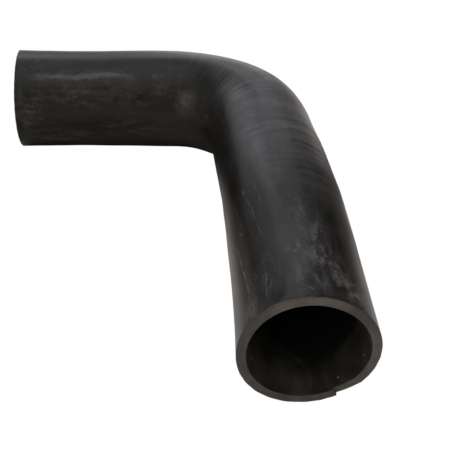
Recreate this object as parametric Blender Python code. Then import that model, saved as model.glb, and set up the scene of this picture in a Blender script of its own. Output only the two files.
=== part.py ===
"""Air intake hose: one moulded rubber elbow with plain ends, cut by hand.

The tube lies on its side.  Its centre line is flat: a long leg that runs
toward -Y with a very slight bow, a bend of near a quarter turn, and a short
straight leg that runs toward -X.  Both ends are open.
"""
import math

import bmesh
import bpy
from mathutils import Vector

# ---------------------------------------------------------------- sizes (m)
OUTER_RADIUS = 0.0465           # 93 mm outside
WALL = 0.0065                   # leaves a bore of 80 mm
LONG_LEG = 0.265                # along its own slightly bowed centre line
LONG_LEG_BOW_RADIUS = 2.360     # the long leg isn't quite straight
BEND_RADIUS = 0.086             # centre line of the bend
BEND_TURN = math.radians(83.0)
SHORT_LEG = 0.149

# The mouth of the long leg is very slightly three-lobed; it fades inward.
LOBE_COS = -0.0083
LOBE_SIN = -0.0044
LOBE_FADE = 0.116

# The ends aren't cut dead square: slope of each cut to the left and upward.
LONG_END_SLOPE = (-0.032, 0.023)
SHORT_END_SLOPE = (-0.063, -0.056)

# Worn corners of the cut ends.
OUTER_EDGE_WEAR = 0.0008
INNER_EDGE_WEAR = 0.0004

# Where the knife came round to its start on the long leg's mouth it missed,
# and left a low place that is deepest at a small step.
NOTCH_STEP_ANGLE = math.radians(242.1)
NOTCH_END_ANGLE = math.radians(218.2)
NOTCH_DEPTH_STEP = 0.0018
NOTCH_DEPTH_END = 0.0008
NOTCH_EDGE_LOSS = 0.0008

# ------------------------------------------------------------ tessellation
SIDES = 64
LONG_LEG_STATIONS = (0.030, 0.062, 0.100, 0.145, 0.200)
BEND_SEGMENTS = 18
SHORT_LEG_STATIONS = (0.070,)

UP = Vector((0.0, 0.0, 1.0))


def section_angles():
    """Angles round the section, with a flat side at the bottom.

    0 is to the hose's left as seen from the long mouth, 90 degrees is up.
    Two close pairs of extra angles mark the ends of the low place."""
    step = 2.0 * math.pi / SIDES
    angles = [(1.5 * math.pi + (j + 0.5) * step) % (2.0 * math.pi) for j in range(SIDES)]
    hair = math.radians(0.35)
    angles += [NOTCH_STEP_ANGLE + hair, NOTCH_STEP_ANGLE - hair]
    angles += [NOTCH_END_ANGLE + hair * 2.0, NOTCH_END_ANGLE - hair]
    return sorted(angles)


def arc(start, heading, length, radius):
    """Walk along an arc that turns left; a radius of None is a straight."""
    if radius is None:
        move = Vector((-math.sin(heading), math.cos(heading), 0.0)) * length
        return start + move, heading
    turn = length / radius
    dx = radius * (math.cos(heading + turn) - math.cos(heading))
    dy = radius * (math.sin(heading + turn) - math.sin(heading))
    return start + Vector((dx, dy, 0.0)), heading + turn


BEND_LENGTH = BEND_RADIUS * BEND_TURN
TOTAL_LENGTH = LONG_LEG + BEND_LENGTH + SHORT_LEG


def station(s):
    """Centre, tangent, left and up directions at distance s from the long mouth."""
    point, heading = Vector((0.0, 0.0, 0.0)), 0.0
    for length, radius in ((LONG_LEG, LONG_LEG_BOW_RADIUS), (BEND_LENGTH, BEND_RADIUS), (SHORT_LEG, None)):
        part = min(max(s, 0.0), length)
        point, heading = arc(point, heading, part, radius)
        s -= part
        if s <= 0.0:
            break
    tangent = Vector((-math.sin(heading), math.cos(heading), 0.0))
    left = UP.cross(tangent)
    return point, tangent, left


def lobed(radius, angle, s):
    fade = math.exp(-(s / LOBE_FADE) ** 2)
    return radius * (1.0 + fade * (LOBE_COS * math.cos(3.0 * angle) + LOBE_SIN * math.sin(3.0 * angle)))


def notch_depth(angle):
    """How far the long mouth is cut back at this angle."""
    if not NOTCH_END_ANGLE < angle < NOTCH_STEP_ANGLE:
        return 0.0
    u = (angle - NOTCH_END_ANGLE) / (NOTCH_STEP_ANGLE - NOTCH_END_ANGLE)
    return NOTCH_DEPTH_END + (NOTCH_DEPTH_STEP - NOTCH_DEPTH_END) * u


def ring_points(s, radius, shift=None, slope=(0.0, 0.0)):
    """One ring of points; shift(angle) moves a point along the hose."""
    centre, tangent, left = station(s)
    points = []
    for angle in ANGLES:
        r = lobed(radius(angle), angle, s)
        across, high = r * math.cos(angle), r * math.sin(angle)
        along = slope[0] * across + slope[1] * high
        if shift:
            along += shift(angle)
        points.append(centre + left * across + UP * high + tangent * along)
    return points


def hose_rings():
    """Rings in order: outside from the long mouth, then back along the bore."""
    def outer(_):
        return OUTER_RADIUS

    def inner(_):
        return OUTER_RADIUS - WALL

    def outer_loss(angle):
        return OUTER_EDGE_WEAR + (NOTCH_EDGE_LOSS if notch_depth(angle) else 0.0)

    def long_outer_lip(angle):
        return OUTER_RADIUS - outer_loss(angle)

    def short_outer_lip(_):
        return OUTER_RADIUS - OUTER_EDGE_WEAR

    def inner_lip(_):
        return OUTER_RADIUS - WALL + INNER_EDGE_WEAR

    bend_stations = [LONG_LEG + BEND_LENGTH * k / BEND_SEGMENTS for k in range(BEND_SEGMENTS + 1)]
    short_stations = [LONG_LEG + BEND_LENGTH + d for d in SHORT_LEG_STATIONS]
    middle = list(LONG_LEG_STATIONS) + bend_stations + short_stations

    rings = [
        ring_points(0.0, long_outer_lip, notch_depth, LONG_END_SLOPE),
        ring_points(0.0, outer, lambda a: notch_depth(a) + outer_loss(a), LONG_END_SLOPE),
    ]
    rings += [ring_points(s, outer) for s in middle]
    rings += [
        ring_points(TOTAL_LENGTH, outer, lambda a: -OUTER_EDGE_WEAR, SHORT_END_SLOPE),
        ring_points(TOTAL_LENGTH, short_outer_lip, None, SHORT_END_SLOPE),
        ring_points(TOTAL_LENGTH, inner_lip, None, SHORT_END_SLOPE),
        ring_points(TOTAL_LENGTH, inner, lambda a: -INNER_EDGE_WEAR, SHORT_END_SLOPE),
    ]
    rings += [ring_points(s, inner) for s in reversed(middle)]
    rings += [
        ring_points(0.0, inner, lambda a: notch_depth(a) + INNER_EDGE_WEAR, LONG_END_SLOPE),
        ring_points(0.0, inner_lip, notch_depth, LONG_END_SLOPE),
    ]
    return rings


def rest_on_floor(rings):
    """Origin at the middle of the underside of the hose's bounding box."""
    xs = [p.x for ring in rings for p in ring]
    ys = [p.y for ring in rings for p in ring]
    zs = [p.z for ring in rings for p in ring]
    shift = Vector(((min(xs) + max(xs)) / 2.0, (min(ys) + max(ys)) / 2.0, min(zs)))
    return [[p - shift for p in ring] for ring in rings]


def build_hose():
    rings = rest_on_floor(hose_rings())
    mesh = bpy.data.meshes.new("intake_hose")
    bm = bmesh.new()
    grid = [[bm.verts.new(p) for p in ring] for ring in rings]
    count, sides = len(grid), len(ANGLES)
    for i in range(count):
        here, there = grid[i], grid[(i + 1) % count]
        for j in range(sides):
            k = (j + 1) % sides
            bm.faces.new((here[j], here[k], there[k], there[j]))
    bmesh.ops.recalc_face_normals(bm, faces=bm.faces)
    if bm.calc_volume(signed=True) < 0.0:
        bmesh.ops.reverse_faces(bm, faces=bm.faces)
    bmesh.ops.triangulate(bm, faces=bm.faces)
    bm.to_mesh(mesh)
    bm.free()
    hose = bpy.data.objects.new("intake_hose", mesh)
    bpy.context.scene.collection.objects.link(hose)
    return hose


def rubber_material():
    material = bpy.data.materials.new("black_rubber")
    material.use_nodes = True
    surface = material.node_tree.nodes["Principled BSDF"]
    surface.inputs["Base Color"].default_value = (0.028, 0.027, 0.026, 1.0)
    surface.inputs["Roughness"].default_value = 0.55
    surface.inputs["IOR"].default_value = 1.5
    return material


for old in list(bpy.data.objects):
    bpy.data.objects.remove(old, do_unlink=True)

ANGLES = section_angles()
hose = build_hose()
hose.data.materials.append(rubber_material())
bpy.ops.object.select_all(action="DESELECT")
hose.select_set(True)
bpy.context.view_layer.objects.active = hose
bpy.ops.object.shade_smooth()
hose.data.set_sharp_from_angle(angle=math.radians(30.0))
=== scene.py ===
"""Looks of the air intake hose: a fine mesh of the moulded elbow with its worn
cut ends, its black rubber, the dust and rubbed marks on it, and the studio."""
import math

import bmesh
import bpy
import numpy as np
from mathutils import Matrix, Vector


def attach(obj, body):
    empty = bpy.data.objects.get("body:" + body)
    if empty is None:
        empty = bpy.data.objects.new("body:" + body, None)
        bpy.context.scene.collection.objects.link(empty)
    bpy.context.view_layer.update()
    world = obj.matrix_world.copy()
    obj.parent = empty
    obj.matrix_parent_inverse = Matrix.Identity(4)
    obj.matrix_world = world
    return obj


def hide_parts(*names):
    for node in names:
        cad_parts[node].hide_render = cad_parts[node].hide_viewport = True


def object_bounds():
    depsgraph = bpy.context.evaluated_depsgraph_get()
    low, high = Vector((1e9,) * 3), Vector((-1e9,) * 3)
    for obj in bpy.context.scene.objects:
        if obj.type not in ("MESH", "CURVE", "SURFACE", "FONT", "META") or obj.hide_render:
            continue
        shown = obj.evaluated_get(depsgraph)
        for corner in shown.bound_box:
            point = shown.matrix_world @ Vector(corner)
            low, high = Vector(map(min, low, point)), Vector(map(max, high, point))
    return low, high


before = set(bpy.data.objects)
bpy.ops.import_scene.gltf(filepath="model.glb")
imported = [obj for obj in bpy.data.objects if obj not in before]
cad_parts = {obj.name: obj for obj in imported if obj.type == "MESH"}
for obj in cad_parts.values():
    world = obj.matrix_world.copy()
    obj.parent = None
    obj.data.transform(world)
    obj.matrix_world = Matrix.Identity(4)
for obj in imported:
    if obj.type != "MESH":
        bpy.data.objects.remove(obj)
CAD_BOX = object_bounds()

# ------------------------------------------------------------------ sizes (m)
OUTER_RADIUS = 0.0465
WALL = 0.0065
LONG_LEG = 0.265
LONG_LEG_BOW_RADIUS = 2.360
BEND_RADIUS = 0.086
BEND_TURN = math.radians(83.0)
SHORT_LEG = 0.149
BEND_LENGTH = BEND_RADIUS * BEND_TURN
TOTAL = LONG_LEG + BEND_LENGTH + SHORT_LEG
LOBE_COS = -0.0083
LOBE_SIN = -0.0044
LOBE_FADE = 0.116
LONG_END_SLOPE = (-0.032, 0.023)
SHORT_END_SLOPE = (-0.063, -0.056)
NOTCH_STEP = math.radians(242.1)
NOTCH_END = math.radians(218.2)
MOUTH = np.array([0.102567, -0.193463, 0.046444])     # centre of the long mouth
ROUND_MM = 2 * math.pi * OUTER_RADIUS * 1000          # once round the outside, mm

# How far the moulding strays from a true tube, at even steps along it (mm):
# a little fatter or thinner, and a little to its left or right.
STRAY_RADIUS = (0.01, -0.27, -0.06, 0.48, 0.48, 0.55, 0.32, 0.2, 0.95, -0.11, 0.1, 0.03, -0.36, -0.38, 0.32)
STRAY_LEFT = (-0.01, 0.19, 0.28, 0.11, -0.32, -0.16, 0.36, 0.63, 0.09, 0.75, 0.46, -0.2, -0.08, -0.06, -0.17)


# ------------------------------------------------------- smooth random fields
def wavy(n_terms, seed, longest, shortest, turns):
    """A smooth field over (angle, distance) that joins up round the section.

    longest and shortest are its wavelengths along the hose, in metres, and
    turns is the most times it repeats round the section."""
    r = np.random.default_rng(seed)
    k = r.integers(-turns, turns + 1, n_terms)
    w = 2 * np.pi / np.exp(r.uniform(math.log(shortest), math.log(longest), n_terms))
    p = r.uniform(0, 2 * np.pi, n_terms)
    a = r.normal(size=n_terms)
    a /= np.sqrt((a ** 2).sum() / 2.0)

    def field(angle, s):
        out = 0.0
        for kk, ww, pp, aa in zip(k, w, p, a):
            out = out + aa * np.cos(kk * angle + ww * s + pp)
        return out
    return field


def smooth(x, a, b):
    t = np.clip((x - a) / (b - a), 0.0, 1.0)
    return t * t * (3 - 2 * t)


def spline(values, x):
    """Natural cubic through evenly spaced values, read at x from 0 to 1."""
    v = np.asarray(values, float)
    n = len(v)
    m = np.eye(n)
    rhs = np.zeros(n)
    for i in range(1, n - 1):
        m[i, i - 1:i + 2] = (1.0, 4.0, 1.0)
        rhs[i] = 6.0 * (v[i - 1] - 2.0 * v[i] + v[i + 1])
    c = np.linalg.solve(m, rhs)
    u = np.clip(np.asarray(x, float), 0.0, 1.0) * (n - 1)
    i = np.minimum(u.astype(int), n - 2)
    t = u - i
    return ((1 - t) * v[i] + t * v[i + 1]
            + ((1 - t) ** 3 - (1 - t)) * c[i] / 6.0 + (t ** 3 - t) * c[i + 1] / 6.0)


# ------------------------------------------------------------ the centre line
def centre(s):
    """Centre point and tangent at a distance from the long mouth."""
    h1 = LONG_LEG / LONG_LEG_BOW_RADIUS
    a = min(s, LONG_LEG)
    turn = max(a, 0.0) / LONG_LEG_BOW_RADIUS
    x = LONG_LEG_BOW_RADIUS * (math.cos(turn) - 1.0)
    y = LONG_LEG_BOW_RADIUS * math.sin(turn) + min(a, 0.0)
    h = turn
    if s > LONG_LEG:
        b = min(s - LONG_LEG, BEND_LENGTH) / BEND_RADIUS
        x += BEND_RADIUS * (math.cos(h1 + b) - math.cos(h1))
        y += BEND_RADIUS * (math.sin(h1 + b) - math.sin(h1))
        h = h1 + b
    if s > LONG_LEG + BEND_LENGTH:
        c = s - LONG_LEG - BEND_LENGTH
        x -= math.sin(h) * c
        y += math.cos(h) * c
    return np.array([x, y, 0.0]), np.array([-math.sin(h), math.cos(h), 0.0])


def lobed(radius, angle, s):
    fade = math.exp(-(s / LOBE_FADE) ** 2)
    return radius * (1.0 + fade * (LOBE_COS * np.cos(3 * angle) + LOBE_SIN * np.sin(3 * angle)))


def section_angles(sides):
    step = 2 * np.pi / sides
    base = (1.5 * np.pi + (np.arange(sides) + 0.5) * step) % (2 * np.pi)
    extra = []
    for edge, widths in ((NOTCH_STEP, (0.014, 0.007, 0.001)), (NOTCH_END, (0.018, 0.006))):
        for wdt in widths:
            extra += [edge - wdt, edge + wdt]
    base = base[np.min(np.abs(base[:, None] - np.array(extra)[None]), axis=1) > 0.3 * step]
    out = np.sort(np.concatenate([base, extra]))
    # start at the bottom, so that the seam of the map lies under the hose
    start = np.searchsorted(out, 1.5 * np.pi)
    return np.concatenate([out[start:], out[:start] + 2 * np.pi])


# ------------------------------------------------------------------ the mesh
SIDES = 216
ANG = section_angles(SIDES)
WRAPPED = ANG % (2 * np.pi)
LEFTNESS = np.cos(ANG)
UPNESS = np.sin(ANG)
ARC = (ANG - 2.5 * np.pi) * OUTER_RADIUS * 1000        # mm round from the top, left is negative

cut_wave = wavy(14, 11, 0.020, 0.004, 22)
edge_wave = wavy(16, 12, 0.030, 0.010, 40)
body_wave = wavy(12, 13, 0.090, 0.035, 3)
wrap_wave = wavy(16, 14, 0.014, 0.0055, 1)
wrap_amount = wavy(6, 15, 0.120, 0.060, 2)
bore_wave = wavy(10, 16, 0.080, 0.020, 5)


def dent(arc, s, at_arc, at_s, half_arc, half_s, turn=0.0):
    """A smooth round bump of height 1 at one place on the outside (mm)."""
    c, d = math.cos(turn), math.sin(turn)
    u, v = arc - at_arc, s * 1000 - at_s
    p, q = (c * u + d * v) / half_arc, (-d * u + c * v) / half_s
    return np.exp(-(p * p + q * q) * 1.6)


# Faint rings that the cloth wrapping left when the rubber was cured: place along
# the hose and half width (mm), and how steeply the surface turns there (per
# thousand).  It turns up, away from the long mouth, where the number is positive.
WRAP_RINGS = (
    (74, 2.2, -13), (86, 1.6, 13), (95, 1.5, 11), (99, 1.4, -11), (102.5, 1.4, 11), (105.5, 1.5, -15),
    (112, 2.4, 9), (118, 2.6, 11), (128, 2.6, -11), (134, 2.0, 20), (141, 2.0, -14), (145.5, 1.7, 22),
    (154, 1.8, 17), (160.5, 3.0, -26), (171, 1.5, -11), (173.8, 1.4, 13), (184.5, 1.8, 12), (189, 1.8, -9),
    (197.5, 2.0, 16), (206.5, 2.2, -21), (218, 2.2, 21), (226, 2.6, -22), (238.5, 2.0, 19), (243, 1.8, -18),
    (249, 1.5, -14), (255.5, 1.6, 15), (261, 2.0, 20), (270, 2.6, -11), (283, 2.2, 17), (291, 2.4, -17),
    (300, 2.2, 12), (305, 2.0, -17), (312, 2.0, 14), (319, 2.0, 17), (326, 2.2, 16), (333, 2.4, -15),
    (341, 2.0, 9), (352, 2.4, -8),
)
_fine = np.arange(0.0, 501.0, 0.25)
_turn = sum(0.001 * a * np.exp(-((_fine - at) / w) ** 2) for at, w, a in WRAP_RINGS)
_rise = np.cumsum(_turn) * 0.25                             # mm
_span = np.ones(241) / 241
RING_HEIGHT = (_rise - np.convolve(np.pad(_rise, 120, mode="edge"), _span, mode="valid")) * 0.001
ring_sway = wavy(8, 21, 0.150, 0.050, 2)
ring_power = wavy(8, 22, 0.050, 0.018, 3)


def wrap_rings(s):
    """The rings sway a little round the hose, and are stronger here and there."""
    at = s * 1000 + 0.7 * ring_sway(ANG, s)
    side = 0.35 + 0.65 * smooth(ARC, -42.0, -12.0)
    return np.interp(at, _fine, RING_HEIGHT) * np.clip(1.15 + 0.35 * ring_power(ANG, s), 0.3, 1.8) * side


def relief(s):
    """Height of the outside above a true tube, in metres."""
    ends = smooth(s, 0.001, 0.030) * smooth(TOTAL - s, 0.001, 0.030)
    wraps = smooth(s, 0.080, 0.170) * smooth(TOTAL - s, 0.130, 0.230)
    h = 0.00006 * body_wave(ANG, s) * ends
    h = h + 0.000010 * wrap_wave(ANG, s) * (0.25 + wraps * np.clip(0.8 + 0.5 * wrap_amount(ANG, s), 0.1, 1.8)) * ends
    h = h + wrap_rings(s) * ends
    # the moulding is pressed a little flat inside the bend
    h = h - 0.0017 * dent(ARC, s, -108.0, 316.0, 24.0, 20.0)
    # a low step that runs along the top of the bend
    h = h + 0.00010 * smooth(ARC, -13.0, -3.0) * smooth(-ARC, -30.0, 3.5) * smooth(s, 0.222, 0.236) * smooth(-s, -0.282, -0.262)
    # two slanting nicks and the pressed places on the short leg
    h = h - 0.00022 * dent(ARC, s, -10.5, 508.5, 1.3, 5.2, 0.75) - 0.00016 * dent(ARC, s, -11.0, 519.0, 1.1, 4.2, 0.75)
    h = h + 0.00010 * dent(ARC, s, -12.0, 514.5, 1.2, 3.5, 0.75)
    h = h - 0.00010 * dent(ARC, s, -50.0, 415.0, 6.0, 11.0) - 0.00006 * dent(ARC, s, -42.0, 452.0, 3.0, 14.0)
    # a flat spot and two scores on the long leg
    h = h - 0.00008 * dent(ARC, s, 0.0, 16.0, 4.0, 7.0, 0.3) - 0.00010 * dent(ARC, s, 33.0, 128.0, 1.6, 9.0, 0.35)
    return h


def ring(s, radius, along=0.0, slope=(0.0, 0.0), at=None):
    """Points of one ring.  along moves them down the hose, at is where its shape is read."""
    P, T = centre(float(s))
    left = np.array([-T[1], T[0], 0.0])
    r = lobed(radius, ANG, s if at is None else at)
    across, high = r * LEFTNESS, r * UPNESS
    shift = slope[0] * across + slope[1] * high + along
    aside = spline(STRAY_LEFT, s / TOTAL) * 0.001
    pts = P + left * (across + aside)[:, None] + T * shift[:, None]
    pts[:, 2] = high
    return pts + MOUTH


def fatter(s):
    return float(spline(STRAY_RADIUS, s / TOTAL)) * 0.001


# the long mouth: where the knife missed its start, and the worn edges
u_notch = (WRAPPED - NOTCH_END) / (NOTCH_STEP - NOTCH_END)
IN_NOTCH = (u_notch > 0) & (u_notch < 1)
NOTCH_DEPTH = np.where(IN_NOTCH, 0.0016 * np.clip(u_notch, 0, 1) ** 0.7, 0.0)
NOTCH_LOSS = np.where(IN_NOTCH, 0.0009 * smooth(u_notch, 0.0, 0.7), 0.0)

around = lambda a0, half: np.exp(-(((WRAPPED - a0 + np.pi) % (2 * np.pi) - np.pi) / half) ** 2)
WEAR_LONG = np.clip(0.00060 + 0.00014 * edge_wave(ANG, 0.0) + 0.00075 * around(0.95, 0.55), 0.00025, 0.0016)
WEAR_SHORT = np.clip(0.00085 + 0.0002 * edge_wave(ANG, 0.5), 0.0003, 0.0016)
R_IN = OUTER_RADIUS - WALL
FACE_RINGS = 8
rings, reach, radius_of, kind_of = [], [], [], []      # points, mm along, radius, surface


def add(points, s, r, kind):
    rings.append(points)
    reach.append(s)
    radius_of.append(r)
    kind_of.append(kind)


def mouth(s_end, slope, sign, wear, cut_back, lost, first):
    """Rings over one cut end.  sign is the way into the hose along the tangent."""
    grow = fatter(s_end)
    r_out = OUTER_RADIUS + grow
    r_in = R_IN + grow
    inner_wear = 0.00035 + 0.00005 * edge_wave(ANG, 0.2)
    rows = []
    for k in range(4):                                    # rounded inner edge
        q = math.radians(90.0 * k / 3)
        rows.append((r_in + inner_wear * (1 - math.cos(q)), cut_back + inner_wear * (1 - math.sin(q)), "face" if k == 3 else "lip"))
    lip = r_out - wear - lost
    for k in range(1, FACE_RINGS):
        u = k / FACE_RINGS
        r = (r_in + inner_wear) * (1 - u) + lip * u
        ripple = 0.00006 * cut_wave(ANG, 0.012 * u) * math.sin(math.pi * u)
        # the missed place is in two levels with a crease between them
        deep = smooth(u_notch, 0.05, 0.5)
        crease = np.where(IN_NOTCH, deep * (0.0005 * math.exp(-((u - 0.52) / 0.10) ** 2) + 0.0005 * float(u > 0.5)), 0.0) if first else 0.0
        rows.append((r, cut_back + ripple + crease, "face"))
    for k in range(5):                                    # rounded outer edge
        q = math.radians(90.0 * k / 4)
        w = wear + lost
        step = np.where(IN_NOTCH, 0.0005 * smooth(u_notch, 0.05, 0.5), 0.0) * (1 - k / 4) if first else 0.0
        rows.append((r_out - w * (1 - math.sin(q)), cut_back + step + w * (1 - math.cos(q)), "face" if k == 0 else "edge"))
    if not first:
        rows = rows[::-1]
    for r, back, kind in rows:
        back = back * np.ones(len(ANG))
        r = r * np.ones(len(ANG))
        add(ring(s_end, r, sign * back, slope), (s_end + sign * float(back.mean())), float(r.mean()), kind)


mouth(0.0, LONG_END_SLOPE, 1.0, WEAR_LONG, NOTCH_DEPTH, NOTCH_LOSS, True)
STATIONS = np.concatenate([[0.0030, 0.0040, 0.0052], np.arange(0.0066, TOTAL - 0.0060, 0.00152), [TOTAL - 0.0052, TOTAL - 0.0040, TOTAL - 0.0030]])
for s in STATIONS:
    # close to an end the rings lean over to meet the slope of its cut
    lean_long = 1.0 - float(smooth(s, 0.003, 0.016))
    lean_short = 1.0 - float(smooth(TOTAL - s, 0.003, 0.016))
    tilt = tuple(lean_long * a + lean_short * b for a, b in zip(LONG_END_SLOPE, SHORT_END_SLOPE))
    add(ring(s, OUTER_RADIUS + fatter(s) + relief(s), 0.0, tilt), s, OUTER_RADIUS, "outer")
# the short end's cut stands out a little at its far upper corner
SHORT_CUT = -0.0019 * around(2.16, 0.34) - 0.0006 * around(1.6, 0.5)
mouth(TOTAL, SHORT_END_SLOPE, -1.0, WEAR_SHORT, SHORT_CUT, np.zeros(len(ANG)), False)
for s in np.concatenate([[TOTAL - 0.0042], np.linspace(TOTAL - 0.010, 0.010, 62), [0.0042]]):
    lean_long = 1.0 - float(smooth(s, 0.003, 0.016))
    lean_short = 1.0 - float(smooth(TOTAL - s, 0.003, 0.016))
    tilt = tuple(lean_long * a + lean_short * b for a, b in zip(LONG_END_SLOPE, SHORT_END_SLOPE))
    waves = 0.00008 * bore_wave(ANG, s) * smooth(s, 0.004, 0.03)
    add(ring(s, R_IN + fatter(s) + waves, 0.0, tilt), s, R_IN, "bore")

rings = np.array(rings)
M, N = rings.shape[:2]


def hold_below(values, limit, margin):
    """Bend values that would pass the limit gently back under it."""
    over = values - (limit - margin)
    return np.where(over > 0, limit - margin * np.exp(-np.clip(over, 0, None) / margin), values)


# the hose lies on its own weight, and keeps inside its stated size
lo, hi = np.array(CAD_BOX[0]), np.array(CAD_BOX[1])
for axis in range(3):
    m = 0.00045 if axis == 2 else 0.0003
    rings[..., axis] = hold_below(rings[..., axis], hi[axis] - 0.00002, m)
    rings[..., axis] = -hold_below(-rings[..., axis], -(lo[axis] + 0.00002), 0.00012 if axis == 2 else m)

verts = rings.reshape(-1, 3)
straight = np.zeros((M, N, 3))
for i in range(M):
    straight[i, :, 0] = radius_of[i] * LEFTNESS
    straight[i, :, 1] = radius_of[i] * UPNESS
    straight[i, :, 2] = reach[i]
faces, mats, uvs = [], [], []
turn_of = (ANG - 1.5 * np.pi) / (2 * np.pi)           # 0 at the bottom, 0.5 at the top
turn_next = np.append(turn_of[1:], turn_of[0] + 1.0)
for i in range(M):
    ii = (i + 1) % M
    pair = {kind_of[i], kind_of[ii]}
    slot = 0 if pair & {"outer"} else 2 if pair & {"bore"} else 1
    va, vb = reach[i], reach[ii]
    for j in range(N):
        jj = (j + 1) % N
        faces.append((i * N + j, i * N + jj, ii * N + jj, ii * N + j))
        mats.append(slot)
        uvs.extend(((turn_of[j], va), (turn_next[j], va), (turn_next[j], vb), (turn_of[j], vb)))

mesh = bpy.data.meshes.new("intake_hose_skin")
mesh.from_pydata(verts.tolist(), [], faces)
mesh.polygons.foreach_set("material_index", np.array(mats, dtype=np.int32))
uv = mesh.uv_layers.new(name="unroll")
uv.data.foreach_set("uv", np.array(uvs, dtype=np.float32).ravel())
att = mesh.attributes.new("straight", "FLOAT_VECTOR", "POINT")
att.data.foreach_set("vector", straight.reshape(-1).astype(np.float32))
mesh.update()
skin = bpy.data.objects.new("intake_hose_skin", mesh)
bpy.context.scene.collection.objects.link(skin)

bm = bmesh.new()
bm.from_mesh(mesh)
if bm.calc_volume(signed=True) < 0:
    bmesh.ops.reverse_faces(bm, faces=bm.faces)
bm.to_mesh(mesh)
bm.free()
mesh.shade_smooth()
mesh.set_sharp_from_angle(angle=math.radians(48.0))


# -------------------------------------------------------------- the materials
class Nodes:
    """Small helper that strings shader nodes together."""

    def __init__(self, name):
        self.mat = bpy.data.materials.new(name)
        self.mat.use_nodes = True
        self.t = self.mat.node_tree
        self.t.nodes.clear()
        self.out = self.t.nodes.new("ShaderNodeOutputMaterial")
        self.bsdf = self.t.nodes.new("ShaderNodeBsdfPrincipled")
        self.t.links.new(self.bsdf.outputs[0], self.out.inputs[0])
        at = self.t.nodes.new("ShaderNodeAttribute")
        at.attribute_name = "straight"
        self.straight = at.outputs["Vector"]
        um = self.t.nodes.new("ShaderNodeUVMap")
        um.uv_map = "unroll"
        flat = self.t.nodes.new("ShaderNodeMapping")
        flat.inputs["Scale"].default_value = (ROUND_MM, 1000.0, 1.0)
        flat.inputs["Location"].default_value = (-ROUND_MM / 2, 0.0, 0.0)
        self.t.links.new(um.outputs["UV"], flat.inputs["Vector"])
        self.flat = flat.outputs[0]                   # mm round from the top, mm along

    def put(self, socket, value):
        if isinstance(value, (int, float)):
            socket.default_value = value
        elif isinstance(value, tuple):
            socket.default_value = value if len(value) == len(socket.default_value) else value + (1.0,)
        else:
            self.t.links.new(value, socket)

    def math(self, op, a, b=0.0, c=0.0, clamp=False):
        n = self.t.nodes.new("ShaderNodeMath")
        n.operation = op
        n.use_clamp = clamp
        self.put(n.inputs[0], a)
        self.put(n.inputs[1], b)
        self.put(n.inputs[2], c)
        return n.outputs[0]

    def vec(self, op, a, b):
        n = self.t.nodes.new("ShaderNodeVectorMath")
        n.operation = op
        self.put(n.inputs[0], a)
        if isinstance(b, tuple):
            n.inputs[1].default_value = b
        else:
            self.put(n.inputs[1], b)
        return n.outputs[0]

    def noise(self, vector, xyz, detail=3.0, rough=0.5, distort=0.0, shift=(0, 0, 0), colour=False):
        m = self.t.nodes.new("ShaderNodeMapping")
        self.put(m.inputs["Vector"], vector)
        m.inputs["Scale"].default_value = xyz
        m.inputs["Location"].default_value = shift
        n = self.t.nodes.new("ShaderNodeTexNoise")
        self.put(n.inputs["Vector"], m.outputs[0])
        n.inputs["Scale"].default_value = 1.0
        n.inputs["Detail"].default_value = detail
        n.inputs["Roughness"].default_value = rough
        n.inputs["Distortion"].default_value = distort
        return n.outputs["Color" if colour else "Fac"]

    def ramp(self, fac, lo, hi, a=0.0, b=1.0, soft=True):
        n = self.t.nodes.new("ShaderNodeMapRange")
        n.interpolation_type = "SMOOTHSTEP" if soft else "LINEAR"
        self.put(n.inputs["Value"], fac)
        n.inputs["From Min"].default_value = lo
        n.inputs["From Max"].default_value = hi
        n.inputs["To Min"].default_value = a
        n.inputs["To Max"].default_value = b
        return n.outputs[0]

    def mix(self, fac, a, b):
        n = self.t.nodes.new("ShaderNodeMix")
        n.data_type = "RGBA"
        self.put(n.inputs[0], fac)
        self.put(n.inputs[6], a)
        self.put(n.inputs[7], b)
        return n.outputs[2]

    def bump(self, height, distance, strength=1.0, normal=None):
        n = self.t.nodes.new("ShaderNodeBump")
        n.inputs["Strength"].default_value = strength
        n.inputs["Distance"].default_value = distance
        self.put(n.inputs["Height"], height)
        if normal is not None:
            self.put(n.inputs["Normal"], normal)
        return n.outputs[0]

    def jitter(self, vector, reach, size, seed):
        """Shake a position by up to reach, with wrinkles of the given size."""
        n = self.noise(vector, (1 / size, 1 / size, 1 / size), 2, 0.5, 0, (seed, seed * 2.3, 0), colour=True)
        off = self.vec("SUBTRACT", n, (0.5, 0.5, 0.5))
        off = self.vec("MULTIPLY", off, (reach * 2, reach * 2, reach * 2))
        return self.vec("ADD", vector, off)

    def blobs(self, vector, marks):
        """Sum of soft round marks: (x, y, half x, half y, turn in degrees, strength)."""
        total = None
        for x, y, hx, hy, turn, strength in marks:
            m = self.t.nodes.new("ShaderNodeMapping")
            m.vector_type = "TEXTURE"
            self.put(m.inputs["Vector"], vector)
            m.inputs["Location"].default_value = (x, y, 0)
            m.inputs["Rotation"].default_value = (0, 0, math.radians(turn))
            m.inputs["Scale"].default_value = (hx, hy, 1)
            g = self.t.nodes.new("ShaderNodeTexGradient")
            g.gradient_type = "SPHERICAL"
            self.put(g.inputs["Vector"], m.outputs[0])
            total = self.math("MULTIPLY_ADD", g.outputs["Fac"], strength, total if total is not None else 0.0)
        return total

    def blobs3(self, vector, marks):
        """The same in three directions: (centre, half sizes, strength), in metres."""
        total = None
        for at, half, strength in marks:
            m = self.t.nodes.new("ShaderNodeMapping")
            m.vector_type = "TEXTURE"
            self.put(m.inputs["Vector"], vector)
            m.inputs["Location"].default_value = at
            m.inputs["Scale"].default_value = half
            g = self.t.nodes.new("ShaderNodeTexGradient")
            g.gradient_type = "SPHERICAL"
            self.put(g.inputs["Vector"], m.outputs[0])
            total = self.math("MULTIPLY_ADD", g.outputs["Fac"], strength, total if total is not None else 0.0)
        return total


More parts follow.
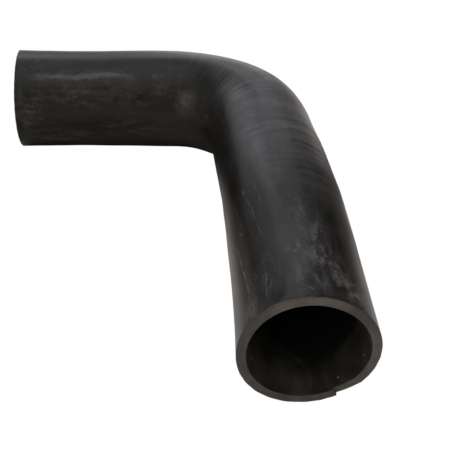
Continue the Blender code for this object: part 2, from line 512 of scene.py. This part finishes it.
def stroke(points, width, strength, taper=True):
    """Marks along a line of (mm along, mm round) points."""
    out = []
    n = len(points) - 1
    for k, ((s0, a0), (s1, a1)) in enumerate(zip(points, points[1:])):
        length = math.hypot(s1 - s0, a1 - a0)
        turn = math.degrees(math.atan2(s1 - s0, a1 - a0))
        power = strength * (0.75 if taper and n > 1 and k in (0, n - 1) else 1.0)
        out.append(((a0 + a1) / 2, (s0 + s1) / 2, length * 0.5 + width * 1.2, width, turn, power))
    return out


def spot(s, arc, along, across, strength, turn=0.0):
    return [(arc, s, across, along, turn, strength)]


# Where the outside is rubbed pale, dusty brown or bare, in mm along and mm round; the smooth middle of the worn place
# inside the bend is also a painted highlight.
PALE = (
    stroke([(25, -43), (40, -45), (55, -48), (70, -50), (84, -52.5)], 1.3, 1.05)
    + stroke([(88, -43), (91.5, -47.5)], 1.1, 0.70)
    + stroke([(88, -42), (108, -45.5), (134, -50)], 0.9, 0.40)
    + stroke([(9, -29), (22, -28), (37, -28)], 0.9, 0.65) + spot(22, -28, 2.4, 1.2, 0.45)
    + stroke([(15, -26.5), (28, -23.5)], 0.8, 0.55)
    + stroke([(24, -18.5), (36, -18)], 0.8, 0.38)
    + stroke([(70, -27), (90, -30), (110, -32.5), (123, -36), (140, -38.8)], 0.9, 0.52)
    + spot(131.5, -37.3, 4.0, 1.6, 0.35)
    + stroke([(102, -25.2), (122, -24.8)], 0.9, 0.32)
    + stroke([(123, -26), (138, -28)], 1.4, 0.36)
    + spot(48.5, -11, 3.6, 2.6, 0.40) + spot(46.5, -7, 2.6, 2.4, 0.38) + spot(51, -4.5, 4.0, 1.2, 0.35)
    + stroke([(37, -0.3), (47, -3), (58, -3.6)], 0.8, 0.35)
    + stroke([(7.6, 0.4), (11.8, -2.8)], 0.8, 0.85)
    + stroke([(13, 5), (24, 3)], 1.8, 0.30)
    + spot(20, 10, 9, 3.5, 0.30) + spot(46, 5, 7, 2.6, 0.30) + spot(51, 7.5, 5, 2.0, 0.25)
    + spot(68, 4, 9, 2.6, 0.22) + spot(75, 7, 5, 1.6, 0.22) + spot(30, 15, 12, 3.0, 0.18)
    + stroke([(9, 23), (12.5, 28), (13, 33), (9, 39)], 1.4, 1.1)
    + stroke([(19, 23), (22, 28.5), (25, 34)], 1.3, 0.75)
    + stroke([(13, 30), (18, 35), (17, 40)], 1.4, 0.75)
    + spot(23, 27, 9, 6, 0.30) + spot(14, 36, 8, 6, 0.50) + spot(12, 29, 8, 6, 0.40) + spot(34, 21, 12, 3.5, 0.35)
    + stroke([(90, 2), (107, 3.3)], 0.8, 0.20) + spot(102, 0, 3.0, 1.4, 0.28)
    + stroke([(49, 22), (66, 25)], 0.8, 0.22) + stroke([(91, 31), (97, 35)], 0.9, 0.25)
    + stroke([(96, -3.4), (115, -3.4), (128, -2.8)], 0.6, 0.14)
    + spot(164, -25, 5, 1.5, 0.22) + stroke([(175, -44), (184, -48)], 1.4, 0.18)
    + stroke([(205, -0.5), (229, -1.4)], 0.7, 0.14) + stroke([(173, -6.3), (200, -7.4), (216, -9)], 0.6, 0.10)
    + spot(30, -8, 16, 6, 0.10) + spot(8, -8, 8, 7, 0.12) + spot(60, -10, 26, 7, 0.06)
    + spot(6, -33, 8, 9, 0.10)
    + stroke([(262, -44), (286, -50)], 0.8, 0.20) + stroke([(238, -41), (262, -46)], 0.7, 0.20)
    + stroke([(212, -40), (240, -45)], 0.7, 0.20) + stroke([(176, -39), (205, -43)], 0.8, 0.20)
    + stroke([(288, -55), (304, -66)], 0.8, 0.22) + stroke([(298, -49), (318, -61)], 0.8, 0.20)
    + stroke([(270, -52), (292, -62)], 0.7, 0.18) + stroke([(150, -36), (172, -39)], 0.8, 0.18)
    + stroke([(60, -36), (84, -39)], 0.7, 0.16) + stroke([(40, -21), (66, -20)], 0.6, 0.14)
    # the worn place on the inside of the bend, whose smooth pale middle is also a painted highlight, and specks near it
    + spot(360, -48, 25, 10, 0.42) + spot(366, -55, 19, 15, 0.26) + spot(352, -54, 22, 18, 0.16) + spot(377, -56, 4, 2, 0.35) + spot(354, -46, 3, 1.3, 0.30)
    + spot(375, -43, 4, 1.4, 0.28) + spot(368, -52, 5, 2.2, 0.25) + spot(289, -49.5, 3.5, 1.3, 0.30)
    + spot(312, -60, 3, 1.2, 0.20) + spot(378, -27, 8, 4, 0.12) + spot(384.5, -19, 2.2, 1.4, 0.16)
    # the long dusty smear on the short leg
    + stroke([(424, -31), (440, -27.5), (456, -28.5), (470, -29.5), (486, -31), (500, -29.5), (519, -30)], 4.4, 0.62)
    + spot(468, -29, 15, 3.6, 1.1) + spot(448, -27.5, 20, 2.8, 1.1) + spot(496, -29, 12, 2.2, 0.9)
    + spot(484, -31, 6, 2.4, 0.25) + stroke([(430, -27), (437, -22.5), (442, -20)], 2.0, 0.20)
    + spot(404, -28.5, 3.2, 4.0, 0.34) + spot(400, -44, 3.0, 5.0, 0.22) + spot(418, -45, 1.6, 2.4, 0.28)
    + stroke([(411, -57), (416, -54.5), (422, -53)], 1.2, 0.42)
    + spot(484, -49, 2.0, 1.4, 0.32) + spot(504.5, -95, 1.8, 3.2, 0.30) + spot(496, -87, 1.4, 1.9, 0.40)
    + spot(438.5, -70, 1.1, 0.9, 0.35) + spot(475, -84, 1.0, 1.8, 0.22) + spot(394, -77, 2.4, 2.6, 0.14)
    + spot(403, -82, 1.8, 1.6, 0.14)
    + stroke([(497, -75), (508, -73), (514, -67), (511, -60), (507, -54)], 1.2, 0.26)
    + spot(526, -76, 8, 7, 0.26) + spot(532, -47, 6, 12, 0.26) + spot(525, -51, 2.5, 1.8, 0.25)
    + stroke([(484, -80), (494, -79.5), (512, -77)], 0.9, 0.16) + spot(518, -60, 12, 14, 0.10)
    + spot(515, -12, 3.6, 1.2, 0.22, 40) + spot(455, -48, 95, 28, 0.085)
)
TAN = (
    spot(5, 14, 7, 9, 0.28) + spot(6, 24, 8, 9, 0.55) + spot(9, 34, 5, 4, 0.35)
    + spot(17, 27, 4, 2.6, 0.35) + spot(41.5, 27, 2.8, 2.0, 0.55) + spot(45, 25, 3.5, 1.8, 0.35)
    + stroke([(11, 10.6), (24, 8), (39, 5.2)], 0.55, 0.55) + spot(8, 8, 4, 3, 0.30)
    + spot(129, -21.7, 3, 1.0, 0.18) + spot(366, -24, 8, 4, 0.10) + spot(303, -66, 6, 5, 0.15)
    + spot(350, -52, 14, 9, 0.16) + spot(8, -46, 16, 10, 0.34)
)
BARE = (
    spot(16, -0.5, 8, 4.0, 0.9, 20) + spot(14, 17, 7, 6, 0.45) + spot(8, 30, 6, 4, 0.5) + spot(36, 24, 14, 5, 0.45) + spot(7, -20, 11, 7, 0.35, 12)
    + spot(63, 28, 12, 5, 0.7) + spot(90, 26, 22, 7, 0.6) + spot(54, 21.5, 12, 1.6, 0.5)
    + stroke([(125, 40), (128.5, 32), (131, 25), (130, 12)], 2.2, 0.7)
    + spot(145, 8, 3, 12, 0.35) + spot(238, 10, 5, 8, 0.25)
    + spot(60, -38, 60, 6, 0.4) + spot(160, -46, 30, 7, 0.4)
    + spot(415, -50, 12, 5.5, 0.9) + spot(425, -54, 5, 3, 0.6) + spot(452, -42, 15, 3.2, 0.6)
    + spot(494, -41.5, 7, 2.4, 0.5) + spot(508, -10.5, 5.0, 1.6, 0.9, 43) + spot(519.5, -11, 4.0, 1.3, 0.8, 43)
    + spot(385, -40, 12, 3.2, 0.4) + spot(304, -52, 12, 6, 0.6) + spot(335, -34, 16, 5, 0.35)
    + spot(500, -62, 12, 4, 0.3)
)


# Wide places where dust is ground into the surface in patches, and where the
# rubber has lost or kept its gloss.
SMUDGED = (
    spot(26, 16, 32, 17, 1.1) + spot(12, 32, 17, 15, 1.5) + spot(88, 1, 36, 9, 0.26) + spot(48, -3, 20, 9, 0.26) + spot(52, 8, 30, 11, 0.75) + spot(70, 12, 26, 9, 0.5)
    + spot(16, -6, 22, 10, 0.35) + spot(10, -42, 20, 14, 0.45) + spot(30, -26, 26, 7, 0.35)
    + spot(365, -53, 28, 18, 0.22) + spot(400, -38, 16, 16, 0.40)
    + spot(475, -29, 62, 8, 0.75) + spot(525, -62, 24, 26, 0.55) + spot(500, -92, 46, 14, 0.55)
    + spot(465, -46, 66, 18, 0.50) + spot(430, -80, 50, 14, 0.30) + spot(520, -24, 20, 14, 0.35)
    + spot(310, -62, 26, 9, 0.22) + spot(268, -20, 50, 20, 0.10) + spot(230, 22, 40, 16, 0.18)
)
DULL = (
    spot(112, -16, 62, 30, 0.45) + spot(118, 20, 50, 22, 0.45) + spot(150, -30, 46, 18, 0.5)
    + spot(20, -17, 44, 11, 0.5) + spot(60, -27, 92, 17, 1.25) + spot(72, 14, 40, 8, 0.5) + spot(225, 25, 90, 18, 0.35) + spot(62, 27, 24, 12, 0.6) + spot(10, -24, 14, 12, 0.4)
    + spot(45, -47, 60, 12, 0.5)
    # and where it has kept its gloss
    + spot(36, -1, 40, 9, -1.1) + spot(72, 0, 26, 9, -0.6)
)


SCUFFED = (
    spot(298, -55, 50, 20, 0.75) + spot(30, -44, 50, 17, 0.50) + spot(95, -36, 70, 16, 0.40) + spot(82, 2, 40, 10, 0.50)
    + spot(385, -45, 45, 26, 0.26) + spot(28, 22, 50, 26, 0.60) + spot(115, 24, 60, 22, 0.26)
    + spot(90, 0, 90, 22, 0.12) + spot(470, -60, 70, 34, 0.10) + spot(220, 0, 90, 34, 0.09)
)


def outer_rubber():
    g = Nodes("rubber_outside")
    # positions shaken a little, so that no mark has a drawn edge
    near = g.jitter(g.jitter(g.flat, 1.0, 5.0, 3.0), 0.55, 1.1, 7.0)
    grain = g.noise(g.flat, (0.9, 0.9, 1), 4, 0.65, 0, (11, 3, 0))
    speck = g.noise(g.flat, (2.1, 1.5, 1), 3, 0.6, 0.3, (5, 17, 0))
    cloud = g.noise(g.straight, (34, 34, 16), 4, 0.62)
    streak = g.noise(g.flat, (0.55, 0.035, 1), 3, 0.6, 0, (2, 9, 0))

    pale = g.blobs(near, PALE)
    tan = g.blobs(near, TAN)
    bare = g.math("MINIMUM", g.blobs(near, BARE), 1.0)

    broken = g.math("MULTIPLY", g.ramp(speck, 0.30, 0.68, 0.25, 1.35), g.ramp(grain, 0.28, 0.72, 0.6, 1.3))
    film = g.math("MULTIPLY", g.ramp(cloud, 0.35, 0.75), g.ramp(streak, 0.35, 0.70, 0.35, 1.0))
    film = g.math("MULTIPLY", film, 0.07)
    dust = g.math("MULTIPLY_ADD", pale, broken, film)
    patches = g.noise(near, (0.19, 0.062, 1), 6, 0.72, 0.15, (13, 5, 0))
    smudge = g.math("MULTIPLY", g.blobs(near, SMUDGED), g.ramp(patches, 0.45, 0.60))
    smudge = g.math("MULTIPLY", smudge, g.ramp(speck, 0.30, 0.64, 0.45, 1.15))
    dust = g.math("MULTIPLY_ADD", smudge, 0.85, dust)
    # short slanting scuffs
    lean = g.t.nodes.new("ShaderNodeMapping")
    g.put(lean.inputs["Vector"], near)
    lean.inputs["Rotation"].default_value = (0, 0, math.radians(-14))
    scratched = g.noise(lean.outputs[0], (0.85, 0.060, 1), 4, 0.68, 0, (6, 2, 0))
    scuff = g.math("MULTIPLY", g.blobs(g.flat, SCUFFED), g.math("MULTIPLY", g.ramp(scratched, 0.54, 0.72), g.ramp(speck, 0.30, 0.60, 0.5, 1.1)))
    dull = g.math("MAXIMUM", g.math("MINIMUM", g.blobs(g.flat, DULL), 0.85), -0.9)
    hoops = g.noise(g.flat, (0.011, 0.13, 1), 4, 0.70, 0, (3, 8, 0))
    hooped = g.math("MINIMUM", g.blobs(g.flat, spot(245, 8, 135, 60, 1.7) + spot(335, -8, 90, 50, 1.1)), 1.0)
    dust = g.math("MULTIPLY", dust, g.math("MULTIPLY_ADD", bare, -0.85, 1.0))
    dust = g.math("MULTIPLY", g.math("ADD", dust, scuff), 1.10, clamp=True)
    brown = g.math("MULTIPLY", tan, g.ramp(speck, 0.35, 0.62, 0.15, 1.3))
    brown = g.math("MULTIPLY", brown, 1.5, clamp=True)

    body = g.mix(g.ramp(cloud, 0.3, 0.7), (0.0155, 0.0152, 0.0124), (0.0245, 0.0240, 0.0200))
    body = g.mix(g.math("MULTIPLY", bare, 0.6), body, (0.0075, 0.0075, 0.0068))
    # pale dust colour; it also carries the painted highlight on the worn place inside the bend
    colour = g.mix(g.math("MULTIPLY", dust, 0.85), body, (0.300, 0.289, 0.271))
    colour = g.mix(g.math("MULTIPLY", brown, 0.62), colour, (0.165, 0.124, 0.090))
    g.put(g.bsdf.inputs["Base Color"], colour)
    rough = g.ramp(cloud, 0.3, 0.7, 0.28, 0.34)
    rough = g.math("MULTIPLY_ADD", dust, 0.30, rough)
    rough = g.math("MULTIPLY_ADD", bare, -0.03, rough, clamp=True)
    g.put(g.bsdf.inputs["Roughness"], rough)
    gloss = g.math("MULTIPLY", g.ramp(patches, 0.34, 0.66, 0.45, 0.55), g.math("MULTIPLY_ADD", g.ramp(hoops, 0.35, 0.65, -0.27, 0.25), hooped, 1.0))
    gloss = g.math("MULTIPLY", gloss, g.math("MULTIPLY_ADD", dull, -0.85, 1.0))
    g.put(g.bsdf.inputs["Specular IOR Level"], g.math("MULTIPLY_ADD", bare, -0.30, gloss, clamp=True))
    fine = g.noise(g.flat, (2.2, 2.2, 1), 3, 0.6, 0, (1, 1, 0))
    lines = g.noise(g.flat, (0.10, 1.35, 1), 3, 0.55, 0, (4, 6, 0))
    normal = g.bump(fine, 0.00002, 1.0)
    normal = g.bump(lines, 0.00003, 1.0, normal)
    g.put(g.bsdf.inputs["Normal"], normal)
    return g.mat


def cut_rubber():
    g = Nodes("rubber_cut_end")
    tone = g.noise(g.straight, (90, 90, 90), 4, 0.6)
    fine = g.noise(g.straight, (700, 700, 700), 3, 0.6)
    upper = g.blobs3(g.straight, (
        ((-0.004, 0.046, 0.0), (0.040, 0.024, 0.02), 0.9), ((-0.046, 0.004, 0.0), (0.024, 0.040, 0.02), 0.45),
        ((0.022, 0.039, 0.0), (0.018, 0.012, 0.02), 0.6), ((-0.032, 0.033, 0.0), (0.026, 0.020, 0.02), -0.8)))
    light = g.math("MULTIPLY_ADD", upper, 0.9, g.ramp(tone, 0.3, 0.7, 0.0, 0.55), clamp=True)
    colour = g.mix(light, (0.091, 0.084, 0.077), (0.190, 0.172, 0.156))
    rust = g.math("MULTIPLY", g.blobs3(g.straight, (
        ((0.020, 0.042, 0.0), (0.016, 0.006, 0.02), 1.0), ((-0.014, 0.0435, 0.0), (0.020, 0.005, 0.02), 0.8),
        ((-0.0415, 0.016, 0.0), (0.004, 0.012, 0.02), 0.5))), g.ramp(fine, 0.42, 0.66), clamp=True)
    colour = g.mix(g.math("MULTIPLY", rust, 0.55), colour, (0.23, 0.155, 0.10))
    colour = g.mix(g.ramp(fine, 0.55, 0.75, 0.0, 0.35), colour, (0.030, 0.029, 0.027))
    g.put(g.bsdf.inputs["Base Color"], colour)
    g.bsdf.inputs["Roughness"].default_value = 0.75
    normal = g.bump(fine, 0.00010, 0.7)
    knife = g.noise(g.flat, (0.05, 3.0, 1), 2, 0.5)
    g.put(g.bsdf.inputs["Normal"], g.bump(knife, 0.00006, 0.6, normal))
    return g.mat


def bore_rubber():
    g = Nodes("rubber_bore")
    shaken = g.jitter(g.straight, 0.0022, 0.009, 2.0)
    cloud = g.noise(g.straight, (55, 55, 30), 5, 0.62, 0.4)
    speck = g.noise(g.straight, (520, 520, 420), 3, 0.6)
    dusty = g.blobs3(shaken, (
        ((0.006, -0.040, 0.009), (0.026, 0.014, 0.014), 0.9),
        ((0.018, -0.035, 0.018), (0.014, 0.010, 0.016), 0.55),
        ((0.030, -0.026, 0.020), (0.014, 0.016, 0.026), 0.55),
        ((-0.037, 0.004, 0.010), (0.008, 0.014, 0.014), 0.40),
        ((-0.012, -0.038, 0.010), (0.014, 0.008, 0.010), 0.40),
        ((0.034, -0.018, 0.030), (0.010, 0.014, 0.016), 0.30)))
    dust = g.math("MULTIPLY", dusty, g.math("MULTIPLY", g.ramp(cloud, 0.30, 0.70, 0.25, 1.2), g.ramp(speck, 0.3, 0.7, 0.6, 1.25)), clamp=True)
    body = g.mix(g.ramp(cloud, 0.36, 0.64), (0.032, 0.0305, 0.0262), (0.078, 0.0748, 0.0650))
    colour = g.mix(g.math("MULTIPLY", dust, 0.75), body, (0.150, 0.147, 0.132))
    # dust and mould bloom reach in from the mouth only as far as two slanting lines; past them the wall is also painted
    # dark, a painted shadow of the mouth's upper rim
    part = g.t.nodes.new("ShaderNodeSeparateXYZ")
    g.t.links.new(g.jitter(g.flat, 2.2, 9.0, 4.0), part.inputs[0])
    aside = g.math("WRAP", g.math("SUBTRACT", part.outputs["X"], 135.5), 146.0, -146.0)
    line = g.math("ADD", g.math("MULTIPLY", g.math("MAXIMUM", aside, 0.0), 0.875), g.math("MULTIPLY", g.math("MINIMUM", aside, 0.0), -0.33))
    inside = g.math("SUBTRACT", g.math("ADD", line, 23.0), part.outputs["Y"])
    near = g.ramp(inside, -2.5, 3.5)
    # painted shadow: past the slanting lines the bore wall takes this dark colour
    colour = g.mix(near, (0.0220, 0.0212, 0.0195), colour)
    # stray crumbs and a curled fibre
    crumbs = g.blobs3(g.straight, (
        ((-0.0230, -0.0328, 0.0083), (0.0010, 0.0010, 0.0010), 2.5),
        ((-0.0378, -0.0132, 0.0097), (0.0009, 0.0016, 0.0009), 1.6),
        ((0.0340, -0.0209, 0.0162), (0.0009, 0.0022, 0.0009), 1.4),
        ((0.0352, -0.0195, 0.0140), (0.0016, 0.0008, 0.0016), 1.2)))
    colour = g.mix(g.math("MINIMUM", crumbs, 1.0), colour, (0.42, 0.41, 0.36))
    olive = g.blobs3(g.straight, (((0.0006, -0.0400, 0.0302), (0.0034, 0.0030, 0.0040), 1.3),))
    colour = g.mix(g.math("MINIMUM", olive, 0.75), colour, (0.105, 0.098, 0.050))
    g.put(g.bsdf.inputs["Base Color"], colour)
    g.put(g.bsdf.inputs["Roughness"], g.math("MULTIPLY_ADD", dust, 0.2, 0.62))
    g.put(g.bsdf.inputs["Normal"], g.bump(speck, 0.00005, 0.7))
    return g.mat


for material in (outer_rubber(), cut_rubber(), bore_rubber()):
    mesh.materials.append(material)

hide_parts("intake_hose")
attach(skin, "root")


# ----------------------------------------------------------------- the studio
def plane(name, size, z):
    m = bpy.data.meshes.new(name)
    h = size / 2
    m.from_pydata([(-h, -h, z), (h, -h, z), (h, h, z), (-h, h, z)], [], [(0, 1, 2, 3)])
    o = bpy.data.objects.new(name, m)
    bpy.context.scene.collection.objects.link(o)
    return o


floor = plane("floor", 12.0, 0.0)
fm = bpy.data.materials.new("floor_white")
fm.use_nodes = True
ft = fm.node_tree
ft.nodes.clear()
f_out = ft.nodes.new("ShaderNodeOutputMaterial")
f_mix = ft.nodes.new("ShaderNodeMixShader")
f_path = ft.nodes.new("ShaderNodeLightPath")
f_diff = ft.nodes.new("ShaderNodeBsdfDiffuse")
f_emit = ft.nodes.new("ShaderNodeEmission")
f_emit.inputs["Strength"].default_value = 1.0
ft.links.new(f_path.outputs["Is Camera Ray"], f_mix.inputs[0])
f_gloss = ft.nodes.new("ShaderNodeBsdfGlossy")
f_gloss.inputs["Color"].default_value = (0.24, 0.225, 0.205, 1)
f_gloss.inputs["Roughness"].default_value = 0.42
f_both = ft.nodes.new("ShaderNodeAddShader")
ft.links.new(f_diff.outputs[0], f_both.inputs[0])
ft.links.new(f_gloss.outputs[0], f_both.inputs[1])
# painted light: the sweep glows, as if lit from below, to the right of the hose and behind it
f_place = ft.nodes.new("ShaderNodeNewGeometry")
f_xyz = ft.nodes.new("ShaderNodeSeparateXYZ")
ft.links.new(f_place.outputs["Position"], f_xyz.inputs[0])


def f_soft(value, start, full, top=1.0):
    n = ft.nodes.new("ShaderNodeMapRange")
    n.interpolation_type = "SMOOTHSTEP"
    ft.links.new(value, n.inputs["Value"])
    for name, number in (("From Min", start), ("From Max", full), ("To Min", 0.0), ("To Max", top)):
        n.inputs[name].default_value = number
    return n.outputs[0]


def f_pool(axis, start, full, radiance):
    return f_soft(f_xyz.outputs[axis], start, full, radiance)


def f_math(op, a, b):
    n = ft.nodes.new("ShaderNodeMath")
    n.operation = op
    for socket, value in zip(n.inputs, (a, b)):
        if isinstance(value, float):
            socket.default_value = value
        else:
            ft.links.new(value, socket)
    return n.outputs[0]


# painted light: it glows to the right of the long leg, and behind the hose as far as a slanting line; painted shadow of
# the hose in the crook of the elbow, and painted shade far off to the right, where its colour is darker
f_slant = f_math("SUBTRACT", f_math("SUBTRACT", f_xyz.outputs["X"], f_math("MULTIPLY", f_xyz.outputs["Y"], 0.577)), 0.11)
f_behind = f_math("MULTIPLY", f_pool("Y", 0.15, 0.20, 0.44), f_soft(f_slant, 0.04, -0.03))
f_right = f_math("MULTIPLY", f_pool("X", 0.13, 0.17, 0.47), f_soft(f_xyz.outputs["Y"], 0.04, -0.09))
f_front = f_soft(f_xyz.outputs["Y"], -0.17, -0.24, 0.13)
f_left = f_math("MULTIPLY", f_pool("X", -0.04, 0.02, 0.24), f_soft(f_xyz.outputs["Y"], 0.10, 0.03))
f_sum = f_math("MAXIMUM", f_math("MAXIMUM", f_math("MAXIMUM", f_right, f_left), f_behind), f_front)
# painted shadow of the hose in the crook, and painted shade far off to the right: the floor colour is darker there
f_crook_shadow = f_math("MULTIPLY", f_soft(f_xyz.outputs["X"], 0.09, 0.05), f_math("MULTIPLY", f_soft(f_xyz.outputs["Y"], 0.17, 0.13), f_pool("Y", -0.10, 0.02, 1.0)))
f_shade = ft.nodes.new("ShaderNodeMix")
f_shade.data_type = "RGBA"
f_far_shade = f_math("MULTIPLY", f_math("MULTIPLY", f_pool("X", 0.17, 0.26, 1.0), f_soft(f_slant, 0.00, 0.05)), f_pool("Y", 0.02, 0.10, 1.0))
ft.links.new(f_math("MAXIMUM", f_crook_shadow, f_far_shade), f_shade.inputs[0])
f_shade.inputs[6].default_value = (0.73, 0.695, 0.655, 1)
f_shade.inputs[7].default_value = (0.43, 0.405, 0.38, 1)
ft.links.new(f_shade.outputs[2], f_diff.inputs["Color"])
f_lit = ft.nodes.new("ShaderNodeEmission")
f_lit.inputs["Color"].default_value = (1.0, 0.935, 0.88, 1)
ft.links.new(f_sum, f_lit.inputs["Strength"])
f_all = ft.nodes.new("ShaderNodeAddShader")
ft.links.new(f_both.outputs[0], f_all.inputs[0])
ft.links.new(f_lit.outputs[0], f_all.inputs[1])
ft.links.new(f_all.outputs[0], f_mix.inputs[1])
ft.links.new(f_emit.outputs[0], f_mix.inputs[2])
ft.links.new(f_mix.outputs[0], f_out.inputs[0])
floor.data.materials.append(fm)

# The studio round the hose: soft-edged panels in a dim room.  Angles are in
# degrees.  Azimuth 0 is behind the hose and positive is to the right.
PANELS = (
    # azimuth: middle, half, softness; elevation: middle, half, softness; radiance
    (-22.0, 27.0, 4.5, 33.0, 11.5, 4.5, 0.56),          # softbox at the back left, with its hot middle
    (-37.0, 21.0, 5.0, 33.0, 5.5, 4.5, 0.50),
    (-46.0, 32.0, 5.0, 34.0, 4.5, 4.5, 0.37),
    (-31.0, 12.0, 5.5, 21.0, 17.0, 5.0, 0.38),
    (-13.5, 27.0, 5.0, 17.0, 17.0, 5.0, 0.31),          # pale wall below it
    (5.0, 10.0, 5.0, 8.5, 17.5, 5.0, 0.46),             # bright place behind the hose
    (13.0, 15.5, 5.0, 8.0, 17.0, 8.0, 0.45),
    (-54.0, 7.0, 5.0, 28.0, 18.0, 5.0, 0.17),
    (-150.0, 48.0, 14.0, 24.0, 34.0, 12.0, 0.20),       # the dim room in front, on the left
    (-90.0, 18.0, 12.0, 24.0, 30.0, 12.0, 0.17),
)
LAMPS = (
    # azimuth, elevation, radiance: round soft lights overhead
    (0.0, 68.0, 0.71), (0.0, 89.0, 0.46), (180.0, 68.0, 0.44), (-120.0, 68.0, 0.36),
)
world = bpy.data.worlds.new("studio")
bpy.context.scene.world = world
world.use_nodes = True
wt = world.node_tree


def w_math(op, *values, clamp=False):
    n = wt.nodes.new("ShaderNodeMath")
    n.operation = op
    n.use_clamp = clamp
    for socket, value in zip(n.inputs, values):
        if isinstance(value, (int, float)):
            socket.default_value = value
        else:
            wt.links.new(value, socket)
    return n.outputs[0]


def w_edge(distance, half, softness):
    """1 inside the half width, falling softly to 0 outside it."""
    n = wt.nodes.new("ShaderNodeMapRange")
    n.interpolation_type = "SMOOTHSTEP"
    wt.links.new(distance, n.inputs["Value"])
    n.inputs["From Min"].default_value = half - softness
    n.inputs["From Max"].default_value = half + softness
    n.inputs["To Min"].default_value = 1.0
    n.inputs["To Max"].default_value = 0.0
    return n.outputs[0]


w_coord = wt.nodes.new("ShaderNodeTexCoord")
w_unit = wt.nodes.new("ShaderNodeVectorMath")
w_unit.operation = "NORMALIZE"
wt.links.new(w_coord.outputs["Generated"], w_unit.inputs[0])
w_xyz = wt.nodes.new("ShaderNodeSeparateXYZ")
wt.links.new(w_unit.outputs[0], w_xyz.inputs[0])
w_az = w_math("MULTIPLY", w_math("ARCTAN2", w_xyz.outputs["X"], w_xyz.outputs["Y"]), 57.29578)
w_el = w_math("MULTIPLY", w_math("ARCSINE", w_xyz.outputs["Z"]), 57.29578)
w_sum = None
for a_mid, a_half, a_soft, e_mid, e_half, e_soft, radiance in PANELS:
    aside = w_math("ABSOLUTE", w_math("WRAP", w_math("SUBTRACT", w_az, a_mid), 180.0, -180.0))
    above = w_math("ABSOLUTE", w_math("SUBTRACT", w_el, e_mid))
    shape = w_math("MULTIPLY", w_edge(aside, a_half, a_soft), w_edge(above, e_half, e_soft))
    w_sum = w_math("MULTIPLY_ADD", shape, radiance, w_sum if w_sum is not None else 0.0)
for azimuth, elevation, radiance in LAMPS:
    x, y = math.radians(azimuth), math.radians(elevation)
    toward = wt.nodes.new("ShaderNodeVectorMath")
    toward.operation = "DOT_PRODUCT"
    wt.links.new(w_unit.outputs[0], toward.inputs[0])
    toward.inputs[1].default_value = (math.sin(x) * math.cos(y), math.cos(x) * math.cos(y), math.sin(y))
    shape = w_math("EXPONENT", w_math("MULTIPLY", w_math("SUBTRACT", toward.outputs["Value"], 1.0), 20.0))
    w_sum = w_math("MULTIPLY_ADD", shape, radiance, w_sum)
w_tint = wt.nodes.new("ShaderNodeMix")
w_tint.data_type = "RGBA"
wt.links.new(w_edge(w_math("ABSOLUTE", w_az), 90.0, 20.0), w_tint.inputs[0])
w_tint.inputs[6].default_value = (1.02, 0.995, 0.95, 1)
w_tint.inputs[7].default_value = (1.02, 0.985, 1.055, 1)
wt.links.new(w_tint.outputs[2], wt.nodes["Background"].inputs["Color"])
wt.links.new(w_math("ADD", w_sum, 0.01), wt.nodes["Background"].inputs["Strength"])

# ----------------------------------------------------------------- the camera
AZ, EL, ROLL = math.radians(-1.0961), math.radians(37.3963), math.radians(0.3710)
TARGET = Vector((0.052423, -0.060992, 0.046444))
DISTANCE = 0.571735
FOCAL_PX = 741.390
back = Vector((math.sin(AZ) * math.cos(EL), -math.cos(AZ) * math.cos(EL), math.sin(EL)))
forward = -back
right = forward.cross(Vector((0, 0, 1))).normalized()
up = right.cross(forward)
right2 = right * math.cos(ROLL) + up * math.sin(ROLL)
up2 = up * math.cos(ROLL) - right * math.sin(ROLL)
cam_data = bpy.data.cameras.new("camera")
cam = bpy.data.objects.new("camera", cam_data)
bpy.context.scene.collection.objects.link(cam)
rot = Matrix((right2, up2, back)).transposed()
cam.matrix_world = Matrix.Translation(TARGET + back * DISTANCE) @ rot.to_4x4()
cam_data.sensor_fit = "HORIZONTAL"
cam_data.sensor_width = 36.0
cam_data.lens = FOCAL_PX / 452.0 * 36.0
cam_data.clip_start = 0.01
cam_data.clip_end = 50.0
bpy.context.scene.camera = cam

view = bpy.context.scene.view_settings
view.view_transform = "Standard"
view.look = "None"
view.exposure = 0.0
view.gamma = 1.0
